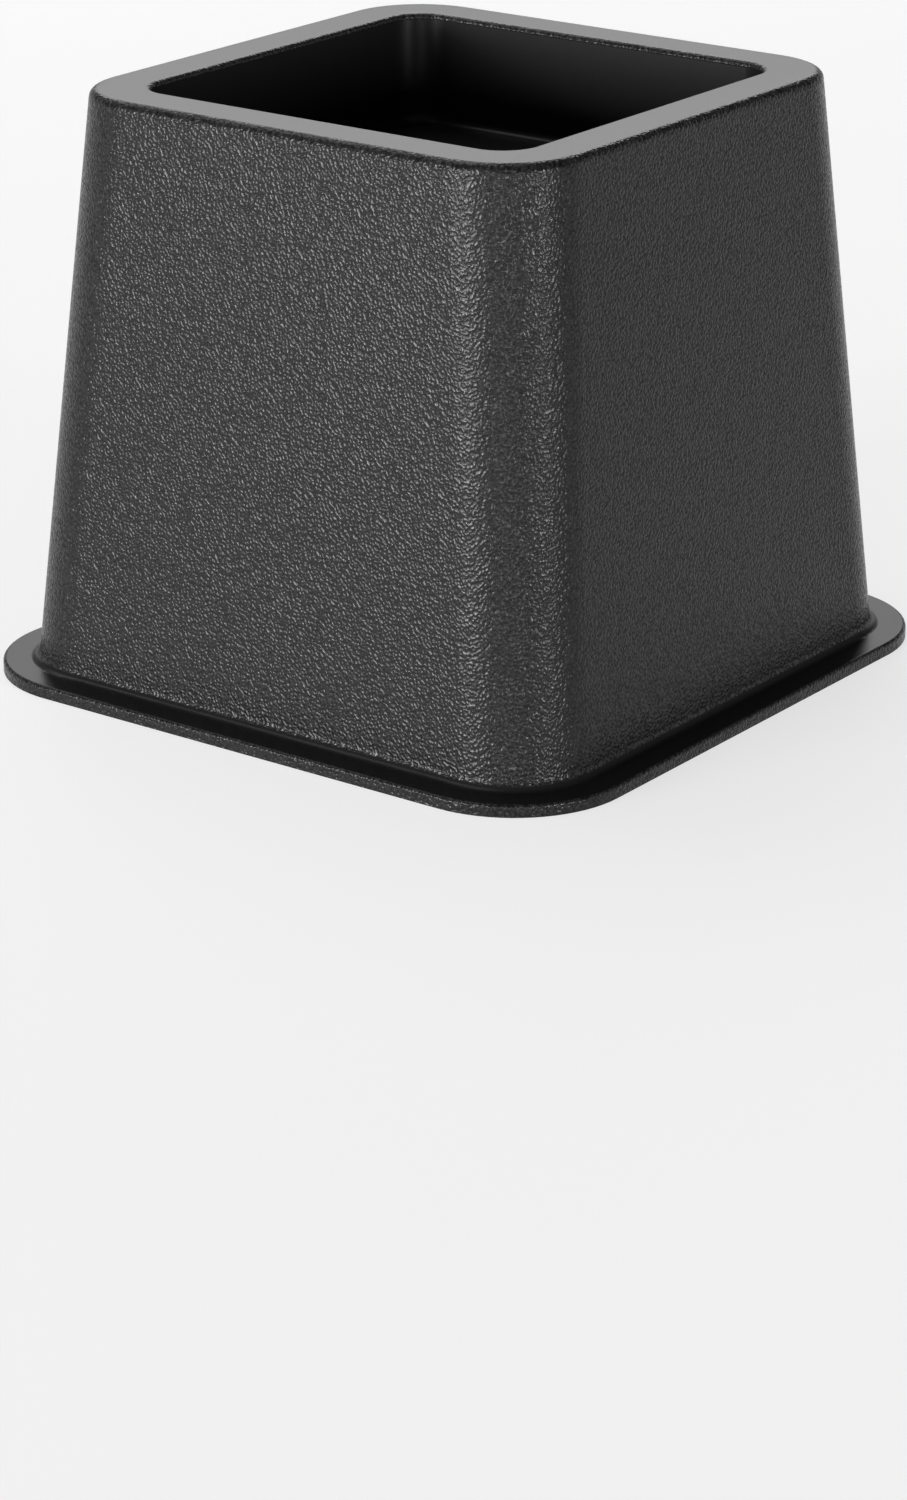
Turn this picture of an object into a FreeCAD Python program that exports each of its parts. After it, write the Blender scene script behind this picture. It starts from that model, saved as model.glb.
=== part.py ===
"""Bed riser: a square, tapered, hollow block moulded in one piece.

A bed leg stands in the recess in the top. The base spreads into a thin flange, and the
inside is open from below, so that risers nest when they are stacked. A grid of ribs under
the recess takes the leg's load to the walls, and in a stack the lower edges of the ribs
rest on the rim of the riser below.

Frame: origin at the centre of the base on the floor, +Z up, walls square to X and Y.
Units: millimetres.
"""

import FreeCAD, Part
import os
from math import cos, pi, radians, sin, tan

# Outside
HEIGHT = 130.0
TOP_WIDTH = 123.0
BASE_WIDTH = 144.6
CORNER_RADIUS = 18.7
FLANGE_OVERHANG = 7.7
FLANGE_THICKNESS = 2.8

# Recess for the bed leg
RECESS_WIDTH = 98.6
RECESS_DEPTH = 25.0
RECESS_CORNER_RADIUS = 8.2
RECESS_DRAFT_DEG = 1.0

# Thicknesses of the moulding
WALL = 3.0
RIM_THICKNESS = 3.0
RECESS_WALL = 3.0
RECESS_FLOOR = 3.5

# Ribs under the recess, as many along X as along Y
STACK_PITCH = 52.9
RIB_THICKNESS = 2.2
RIB_SPACING = 44.0
RIBS_EACH_WAY = 2

# Edge radii
RIM_EDGE_RADIUS = 2.0
RECESS_LIP_RADIUS = 1.0
RECESS_FLOOR_RADIUS = 2.0
FLANGE_ROOT_RADIUS = 2.0
FLANGE_EDGE_RADIUS = 0.8

# Sizes that follow from those above
FLANGE_WIDTH = BASE_WIDTH + 2 * FLANGE_OVERHANG
FLANGE_CORNER_RADIUS = CORNER_RADIUS + FLANGE_OVERHANG
RECESS_FLOOR_Z = HEIGHT - RECESS_DEPTH
RECESS_BOX_FOOT_Z = RECESS_FLOOR_Z - RECESS_FLOOR
RIB_FOOT_Z = HEIGHT - STACK_PITCH

CUT_PAST = 1.0  # how far a cutting solid runs past the face that it cuts
ON_RING = 1e-4  # how far from a ring an edge may lie and still count as part of it


def wall_width(z):
    """The width over the outer walls at height z."""
    return BASE_WIDTH - (BASE_WIDTH - TOP_WIDTH) * z / HEIGHT


def recess_width(z):
    """The width between the recess's drafted walls at height z."""
    return RECESS_WIDTH - 2 * (HEIGHT - z) * tan(radians(RECESS_DRAFT_DEG))


def rounded_square(width, radius, z):
    """A closed wire at height z: a square with round corners, centred on the Z axis."""
    half = width / 2
    centre = half - radius
    bulge = centre + radius * cos(pi / 4)
    edges = []
    for quarter in range(4):
        turn_cos = cos(quarter * pi / 2)
        turn_sin = sin(quarter * pi / 2)
        points = []
        for x, y in [(half, -centre), (half, centre), (bulge, bulge), (centre, half)]:
            points.append(FreeCAD.Vector(x * turn_cos - y * turn_sin, x * turn_sin + y * turn_cos, z))
        side_start, arc_start, arc_middle, arc_end = points
        edges.append(Part.LineSegment(side_start, arc_start).toShape())
        edges.append(Part.Arc(arc_start, arc_middle, arc_end).toShape())
    return Part.Wire(edges)


def tapered_block(width_at, allowance, radius, low_z, high_z):
    """A solid with flat drafted sides and corners of one radius at every height.

    width_at gives the width at a height, and allowance is added to it all round.
    """
    rings = []
    for z in [low_z, high_z]:
        rings.append(rounded_square(width_at(z) + 2 * allowance, radius + allowance, z))
    return Part.makeLoft(rings, True, True)


def round_ring(shape, edge_radius, width, corner_radius, z):
    """The shape with its edges along one rounded square made round."""
    ring = rounded_square(width, corner_radius, z)
    chosen = []
    for edge in shape.Edges:
        samples = [edge.valueAt(parameter) for parameter in edge.ParameterRange]
        samples.append(edge.valueAt(sum(edge.ParameterRange) / 2))
        if all(Part.Vertex(point).distToShape(ring)[0] < ON_RING for point in samples):
            chosen.append(edge)
    return shape.makeFillet(edge_radius, chosen)


def outer_block():
    """The drafted outside on its base flange, still solid, with its edges round."""
    walls = tapered_block(wall_width, 0, CORNER_RADIUS, 0, HEIGHT)
    outline = rounded_square(FLANGE_WIDTH, FLANGE_CORNER_RADIUS, 0)
    flange = Part.Face(outline).extrude(FreeCAD.Vector(0, 0, FLANGE_THICKNESS))
    block = walls.fuse(flange).removeSplitter()
    root_width = wall_width(FLANGE_THICKNESS)
    block = round_ring(block, FLANGE_ROOT_RADIUS, root_width, CORNER_RADIUS, FLANGE_THICKNESS)
    block = round_ring(block, FLANGE_EDGE_RADIUS, FLANGE_WIDTH, FLANGE_CORNER_RADIUS, FLANGE_THICKNESS)
    return round_ring(block, RIM_EDGE_RADIUS, TOP_WIDTH, CORNER_RADIUS, HEIGHT)


def with_recess(block):
    """The block with the leg recess sunk in its top, round at the lip and at the floor."""
    recess = tapered_block(recess_width, 0, RECESS_CORNER_RADIUS, RECESS_FLOOR_Z, HEIGHT + CUT_PAST)
    block = block.cut(recess)
    floor_width = recess_width(RECESS_FLOOR_Z)
    block = round_ring(block, RECESS_FLOOR_RADIUS, floor_width, RECESS_CORNER_RADIUS, RECESS_FLOOR_Z)
    return round_ring(block, RECESS_LIP_RADIUS, RECESS_WIDTH, RECESS_CORNER_RADIUS, HEIGHT)


def ribs():
    """Upright plates across the whole inside, which cross each other under the recess."""
    height = HEIGHT - RIB_FOOT_Z
    first = -RIB_SPACING * (RIBS_EACH_WAY - 1) / 2
    plates = []
    for index in range(RIBS_EACH_WAY):
        near_side = first + index * RIB_SPACING - RIB_THICKNESS / 2
        along_x = FreeCAD.Vector(-BASE_WIDTH / 2, near_side, RIB_FOOT_Z)
        along_y = FreeCAD.Vector(near_side, -BASE_WIDTH / 2, RIB_FOOT_Z)
        plates.append(Part.makeBox(BASE_WIDTH, RIB_THICKNESS, height, along_x))
        plates.append(Part.makeBox(RIB_THICKNESS, BASE_WIDTH, height, along_y))
    return plates


def hollow():
    """The space inside the walls, less the recess's own box and the ribs."""
    inside = tapered_block(wall_width, -WALL, CORNER_RADIUS, -CUT_PAST, HEIGHT - RIM_THICKNESS)
    recess_box = tapered_block(recess_width, RECESS_WALL, RECESS_CORNER_RADIUS, RECESS_BOX_FOOT_Z, HEIGHT)
    return inside.cut([recess_box] + ribs())


riser = with_recess(outer_block()).cut(hollow())
body = riser.Solids[0]

os.makedirs("parts", exist_ok=True)
body.exportStep("parts/riser_body.step")
print("solids", len(riser.Solids), "valid", body.isValid(), "volume cm3", round(body.Volume / 1000, 1))
box = body.optimalBoundingBox()
print("size mm", round(box.XLength, 2), round(box.YLength, 2), round(box.ZLength, 2))
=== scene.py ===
# %% [markdown]
# # A black moulded bed riser in a white studio
# The riser is one plastic moulding: a tapered hollow block with a thin flange at its foot and
# a square recess in its top. Its solid comes from CAD and is right as it is, so this lesson
# gives it what CAD can't: the grained and satin finishes of the plastic, and light to see
# them by.

# %% Load the solid
import bpy
import bmesh
from math import cos, pi, radians, sin
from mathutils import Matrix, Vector


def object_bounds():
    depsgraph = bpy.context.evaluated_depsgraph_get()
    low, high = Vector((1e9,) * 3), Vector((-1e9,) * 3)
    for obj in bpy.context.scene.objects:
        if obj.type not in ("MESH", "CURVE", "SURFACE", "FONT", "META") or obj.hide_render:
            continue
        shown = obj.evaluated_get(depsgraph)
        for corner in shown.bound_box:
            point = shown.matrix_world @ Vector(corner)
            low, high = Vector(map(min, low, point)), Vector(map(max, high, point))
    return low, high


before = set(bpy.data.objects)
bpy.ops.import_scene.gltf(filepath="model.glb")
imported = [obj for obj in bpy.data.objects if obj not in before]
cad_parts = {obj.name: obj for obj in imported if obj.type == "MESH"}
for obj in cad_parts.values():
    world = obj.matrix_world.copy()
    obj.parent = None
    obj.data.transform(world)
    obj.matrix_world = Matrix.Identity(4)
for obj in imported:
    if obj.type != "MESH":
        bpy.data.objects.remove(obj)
cad_low, cad_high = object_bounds()
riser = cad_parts["riser_body"]
size_mm = [round(1000 * size, 1) for size in cad_high - cad_low]
print("riser", size_mm, "mm,", len(riser.data.polygons), "faces")

# %% [markdown]
# ## Camera
# A long lens a little under a metre away looks down on a corner of the riser. Its place, its
# angle and its focal length were found by matching the edges of the rim, the walls and the
# flange, with the lens unshifted. On a tall picture Blender's sensor width is that of the
# tall side.

# %% Place the camera
CAMERA_AZIMUTH = radians(36.542)
CAMERA_HEIGHT_ANGLE = radians(21.341)
camera_data = bpy.data.cameras.new("camera")
camera_data.sensor_width = 36.0
camera_data.lens = 104.517
camera = bpy.data.objects.new("camera", camera_data)
camera.location = (0.54767, -0.74118, 0.33534)
camera.rotation_euler = (pi / 2 - CAMERA_HEIGHT_ANGLE, 0, CAMERA_AZIMUTH)
bpy.context.scene.collection.objects.link(camera)
bpy.context.scene.camera = camera
bpy.context.scene.view_settings.view_transform = "Standard"
print("camera", round(camera.location.length, 3), "m from the foot of the riser")

# %% [markdown]
# ## Two helpers for materials
# Colours are picked as sRGB hex values, as on a colour card, and the shader wants them
# linear. One small function adds a node with its settings and links, so that each finish
# below reads as a list of what feeds what.

# %% Colour and node helpers
def linear(hex_colour):
    """A linear RGBA colour from sRGB hex such as '1a1a1a'."""
    channels = [int(hex_colour[start:start + 2], 16) / 255 for start in (0, 2, 4)]
    return [c / 12.92 if c <= 0.04045 else ((c + 0.055) / 1.055) ** 2.4 for c in channels] + [1.0]


def add(tree, kind, inputs=None, **settings):
    """A new node; an input is a value, or the output socket that feeds it."""
    node = tree.nodes.new(kind)
    for name, value in settings.items():
        setattr(node, name, value)
    for socket, value in (inputs or {}).items():
        if isinstance(value, bpy.types.NodeSocket):
            tree.links.new(value, node.inputs[socket])
        else:
            node.inputs[socket].default_value = value
    return node


def new_material(name):
    """An empty node material with its output, ready for a shader."""
    material = bpy.data.materials.new(name)
    material.use_nodes = True
    material.node_tree.nodes.clear()
    return material, material.node_tree, material.node_tree.nodes.new("ShaderNodeOutputMaterial")


# %% [markdown]
# ## Black polypropylene
# Risers are injection moulded in polypropylene coloured right through with carbon black. The
# half of the mould that forms the outside is etched, and leaves a fine pebbled grain on the
# walls, on the edge of the flange and on the lip of the recess. The rim's flat top, the
# round foot of the walls, the recess and the whole underside come off smooth steel and are
# satin. One plastic with two surfaces is one material with a mask, and the mask can be read
# from where each point lies and the way it faces, with no painted texture.

# %% Where the grain is
MM = 0.001
TOP_Z = cad_high.z
LIP_HEIGHT = 1.0 * MM  # of the round lip of the recess, where the grain fades out
LIP_FADE = 0.2 * MM
FOOT_Z = 3.2 * MM  # middle of the smooth foot, just above the flange
FOOT_HALF_HEIGHT = 0.45 * MM
OUTSIDE_FROM, OUTSIDE_TO = 0.04, 0.16  # how far a face turns outwards: 1 is straight out
FLAT_FROM, FLAT_TO = 0.96, 0.995  # how far a face turns up: 1 is level
plastic, tree, output = new_material("black_polypropylene_grained")
place = add(tree, "ShaderNodeTexCoord").outputs["Object"]
facing = add(tree, "ShaderNodeNewGeometry").outputs["Normal"]
height = add(tree, "ShaderNodeSeparateXYZ", {0: place}).outputs["Z"]
facing_up = add(tree, "ShaderNodeSeparateXYZ", {0: facing}).outputs["Z"]
level_place = add(tree, "ShaderNodeVectorMath", {0: place, 1: (1, 1, 0)}, operation="MULTIPLY").outputs[0]
from_axis = add(tree, "ShaderNodeVectorMath", {0: level_place}, operation="NORMALIZE").outputs[0]
facing_out = add(tree, "ShaderNodeVectorMath", {0: facing, 1: from_axis},
                 operation="DOT_PRODUCT").outputs["Value"]
outside = add(tree, "ShaderNodeMapRange",
              {"Value": facing_out, "From Min": OUTSIDE_FROM, "From Max": OUTSIDE_TO}).outputs[0]
lip = add(tree, "ShaderNodeMapRange",
          {"Value": height, "From Min": TOP_Z - LIP_HEIGHT - LIP_FADE,
           "From Max": TOP_Z - LIP_HEIGHT}).outputs[0]
foot = add(tree, "ShaderNodeMath", {0: height, 1: FOOT_Z, 2: FOOT_HALF_HEIGHT},
           operation="COMPARE").outputs[0]
not_flat = add(tree, "ShaderNodeMapRange",
               {"Value": facing_up, "From Min": FLAT_TO, "From Max": FLAT_FROM}).outputs[0]
etched = add(tree, "ShaderNodeMath", {0: outside, 1: lip}, operation="MAXIMUM").outputs[0]
above_foot = add(tree, "ShaderNodeMath", {0: etched, 1: foot},
                 operation="SUBTRACT", use_clamp=True).outputs[0]
grained = add(tree, "ShaderNodeMath", {0: above_foot, 1: not_flat}, operation="MULTIPLY").outputs[0]
print("grain mask made of", len(tree.nodes) - 1, "nodes")

# %% [markdown]
# ## The pebbled grain
# Etched grain is a field of soft pebbles a little under a millimetre across, of even size
# and with no direction. Smooth noise has that look when its scale is set by the pebble size.
# It is built on a cube lattice, which is turned here, because a lattice square to the walls
# shows on them as bands. A bump is enough, because the pebbles are only some hundredths of a
# millimetre high. Their tops are glossier than the hollows between them. Their colour is also
# painted paler on the tops, a painted glint, and darker in the hollows, painted shade.

# %% Grain, satin and colour
PEBBLE = 0.62 * MM
GRAIN_HEIGHT = 0.105 * MM
LATTICE_TURN = (0.6, 0.4, 0.8)
NOISE_LOW, NOISE_HIGH = 0.25, 0.75  # the span that the noise keeps to
HOLLOW_ROUGHNESS, TOP_ROUGHNESS, SATIN_ROUGHNESS = 0.42, 0.18, 0.32
turned = add(tree, "ShaderNodeMapping", {"Vector": place, "Rotation": LATTICE_TURN}).outputs[0]
pebbles = add(tree, "ShaderNodeTexNoise", {"Vector": turned, "Scale": 1 / PEBBLE, "Detail": 0.0})
pebble = add(tree, "ShaderNodeMapRange",
             {"Value": pebbles.outputs["Fac"], "From Min": NOISE_LOW, "From Max": NOISE_HIGH}).outputs[0]
grain = add(tree, "ShaderNodeMath", {0: pebble, 1: grained}, operation="MULTIPLY").outputs[0]
bump = add(tree, "ShaderNodeBump", {"Height": grain, "Distance": GRAIN_HEIGHT, "Strength": 1.0}).outputs[0]
polish = add(tree, "ShaderNodeMapRange",
             {"Value": pebble, "To Min": HOLLOW_ROUGHNESS, "To Max": TOP_ROUGHNESS}).outputs[0]
roughness = add(tree, "ShaderNodeMix",
                {"Factor": grained, "A": SATIN_ROUGHNESS, "B": polish}).outputs["Result"]
# Painted glint and shade: the colour runs from near black in the hollows to a paler grey on the pebble
# tops.
painted_pebble_shading = add(tree, "ShaderNodeMix", {"Factor": pebble, "A": linear("040404"), "B": linear("2a2a2a")},
           data_type="RGBA").outputs["Result"]
# The satin parts get one even black, and the grained parts get the painted pebble shading.
black = add(tree, "ShaderNodeMix", {"Factor": grained, "A": linear("181818"), "B": painted_pebble_shading},
            data_type="RGBA").outputs["Result"]
shader = add(tree, "ShaderNodeBsdfPrincipled",
             {"Base Color": black, "Roughness": roughness, "IOR": 1.49, "Specular IOR Level": 0.2,
              "Normal": bump})
tree.links.new(shader.outputs[0], output.inputs["Surface"])
riser.data.materials.clear()
riser.data.materials.append(plastic)
print("riser wears", riser.data.materials[0].name)

# %% [markdown]
# ## White paper
# The riser stands on a sweep of matt paper that curves up into a low backdrop all round, so
# that it has the same pale ground from every side. Lamps strong enough to make paper white
# are too strong for the riser. So the lamps meet a mid grey, which keeps the soft shadow
# round the foot, and a lift brings it near white for the camera and for all that mirrors it.

# %% Lay the floor
PAPER_REACH = 6.5  # metres from the riser to the backdrop
PAPER_BEND = 1.6  # radius of the curve between the floor and the backdrop
PAPER_LIFT = 0.68
paper, tree, output = new_material("matt_white_paper")
sheet = add(tree, "ShaderNodeBsdfDiffuse", {"Color": linear("a0a0a0")}).outputs[0]
rays = add(tree, "ShaderNodeLightPath").outputs
seen = rays["Is Camera Ray"]
for kind in ("Is Glossy Ray", "Is Transmission Ray"):
    seen = add(tree, "ShaderNodeMath", {0: seen, 1: rays[kind]}, operation="MAXIMUM").outputs[0]
lift = add(tree, "ShaderNodeMath", {0: seen, 1: PAPER_LIFT}, operation="MULTIPLY").outputs[0]
glow = add(tree, "ShaderNodeEmission", {"Color": linear("ffffff"), "Strength": lift}).outputs[0]
both = add(tree, "ShaderNodeAddShader", {0: sheet, 1: glow}).outputs[0]
tree.links.new(both, output.inputs["Surface"])

# The sweep is its section, flat and then a quarter circle, spun about the middle.
floor_mesh = bpy.data.meshes.new("floor")
sweep = bmesh.new()
profile = [(0.0, 0.0), (1.0, 0.0), (PAPER_REACH - PAPER_BEND, 0.0)]
for degrees_up in range(10, 91, 10):
    turn = radians(degrees_up)
    profile.append((PAPER_REACH - PAPER_BEND * (1 - sin(turn)), PAPER_BEND * (1 - cos(turn))))
corners = [sweep.verts.new((along, 0, up)) for along, up in profile]
line = [sweep.edges.new(pair) for pair in zip(corners, corners[1:])]
bmesh.ops.spin(sweep, geom=corners + line, axis=(0, 0, 1), angle=2 * pi, steps=96)
bmesh.ops.remove_doubles(sweep, verts=sweep.verts, dist=0.0001)
bmesh.ops.recalc_face_normals(sweep, faces=sweep.faces)
for face in sweep.faces:
    face.smooth = True
sweep.to_mesh(floor_mesh)
sweep.free()
floor_mesh.materials.append(paper)
floor = bpy.data.objects.new("floor", floor_mesh)
bpy.context.scene.collection.objects.link(floor)
print("paper", 2 * PAPER_REACH, "m across,", len(floor_mesh.polygons), "faces")

# %% [markdown]
# ## Studio light
# Black plastic shows little colour of its own: the eye reads its shape from what it mirrors.
# The camera looks down on walls that lean back little, so they mirror what stands low. A wide
# box lights the left wall, and a strip at either side draws a soft band down the round front
# corner. All stand on the floor four metres away, which keeps the walls even from foot to
# rim. A weak strip in front fills between the bands. A high panel at the back throws the
# soft shadow, and a lower one there makes the flat rim shine pale.

# %% Hang the soft boxes
AIM = Vector((0, 0, 0.06))
ROOM_BRIGHTNESS = 0.1


def soft_box(name, azimuth, elevation, distance, width, tall, brightness):
    """A rectangular lamp that faces the riser; brightness is its surface's, where 1 is white."""
    data = bpy.data.lights.new(name, "AREA")
    data.shape = "RECTANGLE"
    data.size = width
    data.size_y = tall
    data.energy = brightness * pi * width * tall
    around, up = radians(azimuth), radians(elevation)
    back = Vector((sin(around) * cos(up), -cos(around) * cos(up), sin(up)))
    lamp = bpy.data.objects.new(name, data)
    lamp.location = AIM + distance * back
    lamp.rotation_euler = (pi / 2 - up, 0, around)
    bpy.context.scene.collection.objects.link(lamp)
    print(name, round(data.energy, 2), "W")


# Azimuth and elevation are in degrees, and distance, width and height in metres.
soft_box("left_box", -21, 5.2, 4.0, 1.52, 0.84, 32.0)
soft_box("left_strip", -8, 5.2, 4.0, 0.44, 0.84, 54.0)
soft_box("right_strip", 82, 5.2, 4.0, 0.52, 0.84, 58.0)
soft_box("front_strip", 36.5, 4.1, 4.0, 1.2, 0.68, 15.0)
soft_box("high_panel", 250, 60, 1.7, 1.4, 1.4, 1.8)
soft_box("rim_panel", 216.5, 25, 1.6, 0.9, 0.5, 2.9)

world = bpy.data.worlds.new("white_room")
world.use_nodes = True
room = world.node_tree.nodes["Background"].inputs
room["Color"].default_value = linear("ffffff")
room["Strength"].default_value = ROOM_BRIGHTNESS
bpy.context.scene.world = world
print("room brightness", ROOM_BRIGHTNESS)
